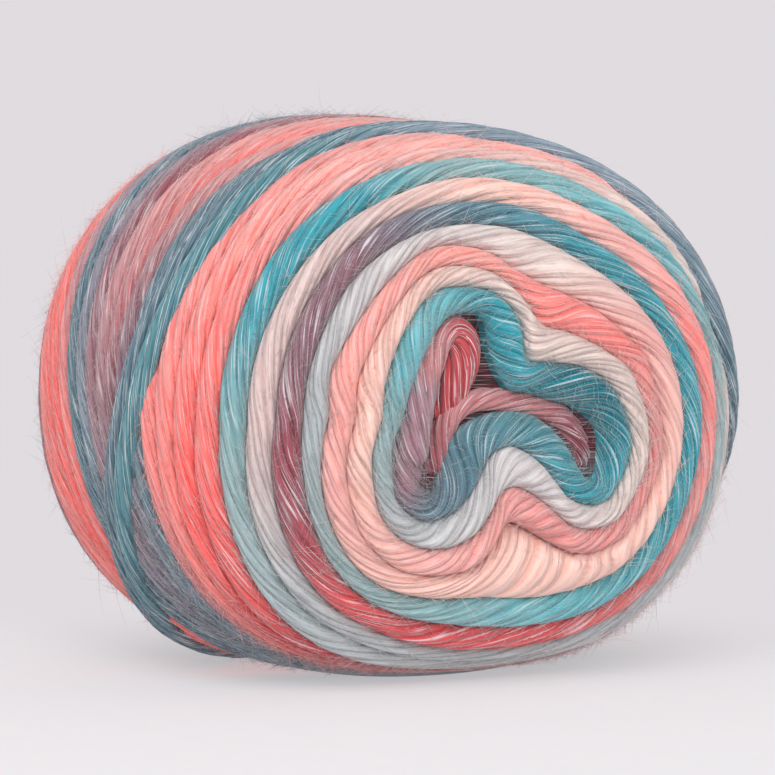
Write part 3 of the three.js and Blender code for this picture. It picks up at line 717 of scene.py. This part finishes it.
def strandPiece(name, centre, radius, up, dyeRows, joined):
    count = len(centre)
    sides = strandLook["sides"]
    ahead = np.roll(centre, -1, 0) - np.roll(centre, 1, 0)
    if not joined:
        ahead = np.gradient(centre, axis=0)
    ahead /= np.linalg.norm(ahead, axis=1, keepdims=True)
    up = up - ahead * np.sum(up * ahead, axis=1, keepdims=True)
    up /= np.linalg.norm(up, axis=1, keepdims=True)
    across = np.cross(ahead, up)
    steps = np.linalg.norm(np.roll(centre, -1, 0) - centre, axis=1)
    length = np.concatenate([[0], np.cumsum(steps)])
    lean = math.radians(strandLook["strayAngle" if joined else "eyeAngle"])
    twist = strandLook["plies"] * math.tan(lean) / (2 * np.pi * float(np.mean(radius)))
    if joined:
        twist = round(length[-1] * twist) / length[-1]
    angle = 2 * np.pi * np.arange(sides) / sides
    ply = strandLook["plies"] * angle / (2 * np.pi) + (length[:count] * twist)[:, None]
    flute = np.abs(np.cos(np.pi * ply)) ** 0.8
    size = radius[:, None] + strandLook["depth"] * (flute - 0.7)
    if not joined:  # ends drawn in round
        share = np.minimum(length[:count], length[count - 1] - length[:count]) / 1.6
        size = size * np.sqrt(np.clip(1 - (1 - np.clip(share, 0.02, 1)) ** 2, 0, 1))[:, None]
    ring = up[:, None] * np.cos(angle)[None, :, None] + across[:, None] * np.sin(angle)[None, :, None]
    verts = (centre[:, None] + ring * size[..., None]).reshape(-1, 3)
    rings = count if joined else count - 1
    i, j = (a.ravel() for a in np.meshgrid(np.arange(rings), np.arange(sides), indexing="ij"))
    nextI, nextJ = (i + 1) % count, (j + 1) % sides
    quads = np.stack([i * sides + j, i * sides + nextJ, nextI * sides + nextJ, nextI * sides + j], 1)

    def uvAt(a, b):
        return np.stack([length[a] * 0.1, strandLook["plies"] * b / sides + length[a] * twist], -1)

    uvs = np.stack([uvAt(i, j), uvAt(i, j + 1), uvAt(i + 1, j + 1), uvAt(i + 1, j)], 1)
    places = [row[0] for row in dyeRows]
    tones = np.array([linearColour(dyes[row[1]]) for row in dyeRows])
    share = length / length[rings]
    tone = np.stack([np.interp(share, places, tones[:, c]) for c in range(3)], -1)
    colours = np.stack([tone[i], tone[i], tone[i + 1], tone[i + 1]], 1)
    faces, colours, uvs = halved(quads), halved(colours), halved(uvs)
    if not joined:
        j = np.arange(sides)
        nextJ = (j + 1) % sides
        first, last, lastRing = len(verts), len(verts) + 1, (count - 1) * sides
        verts = np.concatenate([verts, centre[:1], centre[-1:]])
        low = np.stack([np.full(sides, first), nextJ, j], 1)
        high = np.stack([np.full(sides, last), lastRing + j, lastRing + nextJ], 1)
        faces = np.concatenate([faces, low, high])
        tips = [np.tile(tones[end], (sides, 3, 1)) for end in (0, -1)]
        colours = np.concatenate([colours, *tips])
        uvs = np.concatenate([uvs, np.zeros((2 * sides, 3, 2))])
    return dress(makeMesh(name, toFrame(verts), faces, colours, uvs), yarnMaterial)


def eyeStrand(name, rows, dyeRows):
    path = smoothPath(rows, strandLook["eyePoints"])
    centre = raised(path[:, :2], np.zeros(len(path)), path[:, 2])
    up = np.tile([1.0, 0.0, 0.0], (len(path), 1))
    strandPiece(name, centre, path[:, 3], up, dyeRows, False)


def farCoil():  # the winding goes on into the far end's dimple and lies on its floor
    turn = np.linspace(0, 1, 260) ** 0.7 * farCoilLook["turns"]
    size = farCoilLook["widest"] * (1 - turn / (farCoilLook["turns"] + 0.12))
    angle = np.pi + 2 * np.pi * turn
    end = onForm(np.array(outlineLength), np.array(0.0))
    shallow, deep = farCoilLook["depths"]
    depth = shallow + (deep - shallow) * smoothStep(turn, 0, 0.7)
    centre = np.stack([end[0] + depth, size * np.cos(angle), end[2] + size * np.sin(angle)], -1)
    up = np.tile([-1.0, 0.0, 0.0], (len(centre), 1))
    radius = np.full(len(centre), farCoilLook["radius"])
    strandPiece("farCoil", centre, radius, up, farCoilLook["dyes"], False)


def strayTurn(name, offset, radius, dyeRows):
    count = int(2 * np.pi * ball["halfHeight"] / strandLook["step"])
    clock = 2 * np.pi * np.arange(count) / count
    run = readColumn(strayPath, np.degrees(clock), 1) + offset
    flat = np.stack([run * np.sin(clock), run * np.cos(clock)], -1)
    centre = raised(flat, np.full(count, strandLook["strayLift"]), np.zeros(count))
    strandPiece(name, centre, np.full(count, radius), formNormal(run, clock), dyeRows, True)


eyeStrand("foldedStrand", foldedStrand, foldedDyes)
eyeStrand("crossStrand", crossStrand, crossDyes)
farCoil()
for row in strayTurns:
    strayTurn(*row)
print("strands laid")

# loose fibres
# name, how many, shortest and longest in mm, how far they stand off, curl, radius, points along one
fuzzKinds = [
    ("lyingFibres", 11500, 2.0, 6.0, 0.12, 0.6, 0.021, 3),
    ("haloFibres", 22000, 1.0, 3.6, 0.60, 0.9, 0.034, 2),
    ("flyingFibres", 2900, 3.0, 8.0, 0.50, 1.6, 0.020, 5),
]
fuzz = {
    "seed": 5,
    "clearOfTable": 1.2,
    "towardEye": 1.25,  # above 1, more fibres near the eye
    "spread": 0.45,
    "bend": 0.35,
    "sway": 0.1,
    "taper": 0.7,
}


def fuzzRoots(rng, count):
    turns = winding["turns"] * rng.random(count) ** fuzz["towardEye"]
    turn = (turns % 1) * 360
    k = turns.astype(int)
    inner, outer = np.zeros((count, 2)), np.zeros((count, 2))
    for each in np.unique(k):
        here = k == each
        inner[here], outer[here] = edgeOf(int(each), turn[here]), edgeOf(int(each) + 1, turn[here])
    v = rng.uniform(-0.85, 0.85, count)
    mix = ((v + 1) / 2)[:, None]
    flat = inner * (1 - mix) + outer * mix
    ahead = np.stack([-flat[:, 1], flat[:, 0]], -1)  # the way the clock angle falls
    ahead = ahead / np.maximum(np.linalg.norm(ahead, axis=1, keepdims=True), 1e-6)
    crown = winding["crown"] * (1 - np.abs(v) ** 2.3) ** 0.6 - 0.25
    sink = sinkOf(turns + mix[:, 0])
    root, next_ = raised(flat, crown, sink), raised(flat + ahead * 0.5, crown, sink)
    along = next_ - root
    along /= np.maximum(np.linalg.norm(along, axis=1, keepdims=True), 1e-6)
    normal = formNormal(np.hypot(flat[:, 0], flat[:, 1]), np.arctan2(flat[:, 0], flat[:, 1]))
    return root, along, normal, dyeAt(turns)


def fuzzPiece(name, count, shortest, longest, lift, curl, radius, steps, seed):
    rng = np.random.default_rng(seed)
    root, along, normal, dye = fuzzRoots(rng, count)
    side = np.cross(normal, along)
    sign = rng.choice([-1.0, 1.0], (count, 1))
    sideways = side * rng.normal(0, fuzz["spread"], (count, 1))
    start = along * sign + sideways + normal * lift * rng.uniform(0.3, 2.0, (count, 1))
    start /= np.linalg.norm(start, axis=1, keepdims=True)
    bend = side * rng.normal(0, curl, (count, 1))
    bend = bend + normal * rng.normal(-0.25 * lift, 0.35 * lift, (count, 1))
    length = rng.uniform(shortest, longest, (count, 1)) * rng.uniform(0.5, 1.0, (count, 1))
    s = np.linspace(0, 1, steps)[None, :, None]
    swing = np.sin(s * math.pi * rng.uniform(1, 2.5, (count, 1, 1)))
    sway = swing * side[:, None] * rng.normal(0, fuzz["sway"], (count, 1, 1))
    path = start[:, None] * s + bend[:, None] * fuzz["bend"] * s * s + sway * s
    centre = root[:, None] + length[:, None] * path
    keep = centre[..., 2].min(1) > tableHeight + fuzz["clearOfTable"]
    centre, dye, start, normal = centre[keep], dye[keep], start[keep], normal[keep]
    count = len(centre)
    across = np.cross(start, normal + 0.1 * along[keep])
    across /= np.maximum(np.linalg.norm(across, axis=1, keepdims=True), 1e-6)
    other = np.cross(start, across)
    taper = (radius * (1 - fuzz["taper"] * np.linspace(0, 1, steps) ** 2))[None, :, None, None]
    angle = 2 * np.pi * np.arange(3) / 3
    ring = across[:, None, None] * np.cos(angle)[None, None, :, None]
    ring = ring + other[:, None, None] * np.sin(angle)[None, None, :, None]
    verts = (centre[:, :, None] + ring * taper).reshape(-1, 3)
    base = (np.arange(count) * steps * 3)[:, None, None]
    tube = []
    for i in range(steps - 1):
        for j in range(3):
            n = (j + 1) % 3
            a, b, c, d = i * 3 + j, i * 3 + n, i * 3 + 3 + n, i * 3 + 3 + j
            tube += [(a, b, c), (a, c, d)]
    last = (steps - 1) * 3
    tube += [(0, 2, 1), (last, last + 1, last + 2)]
    tube = np.array(tube)
    faces = (base + tube[None]).reshape(-1, 3)
    dyed = np.repeat(dye, len(tube), 0)[:, None].repeat(3, 1)
    ends = (tube // 3) / (steps - 1)
    number = np.repeat(np.arange(count), len(tube))[:, None].repeat(3, 1)
    uvs = np.stack([np.tile(ends, (count, 1)), number * 0.37], -1)
    dress(makeMesh(name, toFrame(verts), faces, dyed, uvs), fuzzMaterial)


for i, row in enumerate(fuzzKinds):
    fuzzPiece(*row, fuzz["seed"] + i)
print("loose fibres grown")

# floor and light
studio = {
    "floorRadius": 60,
    "floorDrop": 0.0001,
    "floorColour": (0.84, 0.82, 0.84, 1),
    "backdropColour": (0.745, 0.715, 0.742, 1),
    "lightPower": 8.6,
    "fillPower": 8.0,
    "floorGlow": 0.5,  # how much of the floor's brightness no shadow can take
    "glowColour": (0.84, 0.82, 0.84, 1),
    "skyStrength": 0.58,
    "glowReach": (0.16, 0.4),  # distance from the ball over which the floor turns into the backdrop
    "glowBehind": (0.015, 0.075),
}


def makeFloor():
    wide, drop = studio["floorRadius"], studio["floorDrop"]
    bpy.ops.mesh.primitive_circle_add(vertices=96, radius=wide, fill_type="NGON", location=(0, 0, -drop))
    floor = bpy.context.object
    floor.name = "floor"
    material = bpy.data.materials.new("paleFloor")
    material.use_nodes = True
    tree = material.node_tree
    shader = tree.nodes["Principled BSDF"]
    shader.inputs["Roughness"].default_value = 0.85
    shader.inputs["Specular IOR Level"].default_value = 0.1
    coord = addNode(tree, "ShaderNodeTexCoord").outputs["Object"]
    noise = addNode(tree, "ShaderNodeTexNoise")
    noise.inputs["Scale"].default_value = 220
    tree.links.new(coord, noise.inputs["Vector"])
    pale = studio["floorColour"]
    speck = tuple(c * 0.95 for c in pale[:3]) + (1,)
    tree.links.new(mixColour(tree, "MIX", noise.outputs[0], pale, speck), shader.inputs["Base Color"])
    # away from the ball the floor turns into an even pale backdrop
    glow = addNode(tree, "ShaderNodeEmission")
    glow.inputs[0].default_value = studio["backdropColour"]
    reach = addNode(tree, "ShaderNodeVectorMath", operation="LENGTH")
    tree.links.new(coord, reach.inputs[0])
    behind = addNode(tree, "ShaderNodeVectorMath", operation="DOT_PRODUCT")
    behind.inputs[1].default_value = -cameraBack
    tree.links.new(coord, behind.inputs[0])
    far = rampNode(tree, reach.outputs["Value"], *studio["glowReach"])
    past = rampNode(tree, behind.outputs["Value"], *studio["glowBehind"])
    mix = addNode(tree, "ShaderNodeMixShader")
    tree.links.new(mathNode(tree, "MAXIMUM", far, past), mix.inputs[0])
    soft = addNode(tree, "ShaderNodeEmission")
    soft.inputs[0].default_value = studio["glowColour"]
    near = addNode(tree, "ShaderNodeMixShader")
    near.inputs[0].default_value = studio["floorGlow"]
    tree.links.new(shader.outputs[0], near.inputs[1])
    tree.links.new(soft.outputs[0], near.inputs[2])
    tree.links.new(near.outputs[0], mix.inputs[1])
    tree.links.new(glow.outputs[0], mix.inputs[2])
    tree.links.new(mix.outputs[0], tree.nodes["Material Output"].inputs[0])
    floor.data.materials.append(material)


def makeWorld():
    world = bpy.data.worlds.new("studio")
    bpy.context.scene.world = world
    world.use_nodes = True
    tree = world.node_tree
    background = tree.nodes["Background"]
    seen = addNode(tree, "ShaderNodeLightPath").outputs["Is Camera Ray"]
    sky = tuple(c * studio["skyStrength"] for c in (1.0, 0.985, 0.99)) + (1,)
    tree.links.new(mixColour(tree, "MIX", seen, sky, studio["backdropColour"]), background.inputs[0])


def makeLight(name, place, aim, size, power):
    data = bpy.data.lights.new(name, "AREA")
    data.shape = "SQUARE"
    data.size = size
    data.energy = power
    lamp = bpy.data.objects.new(name, data)
    bpy.context.collection.objects.link(lamp)
    lamp.location = place
    lamp.rotation_euler = (Vector(aim) - Vector(place)).to_track_quat("-Z", "Y").to_euler()


makeFloor()
makeWorld()
above = cameraBack * 0.95 + Vector((0, 0, 0.72)) - cameraRight * 0.25
makeLight("softbox", above, (0, 0, 0.03), 0.9, studio["lightPower"])
front = cameraBack * 1.2 + Vector((0, 0, 0.35)) + cameraRight * 0.3
makeLight("fill", front, (0, 0, 0.04), 0.8, studio["fillPower"])
bpy.context.scene.view_settings.view_transform = "Standard"
print("stage lit")
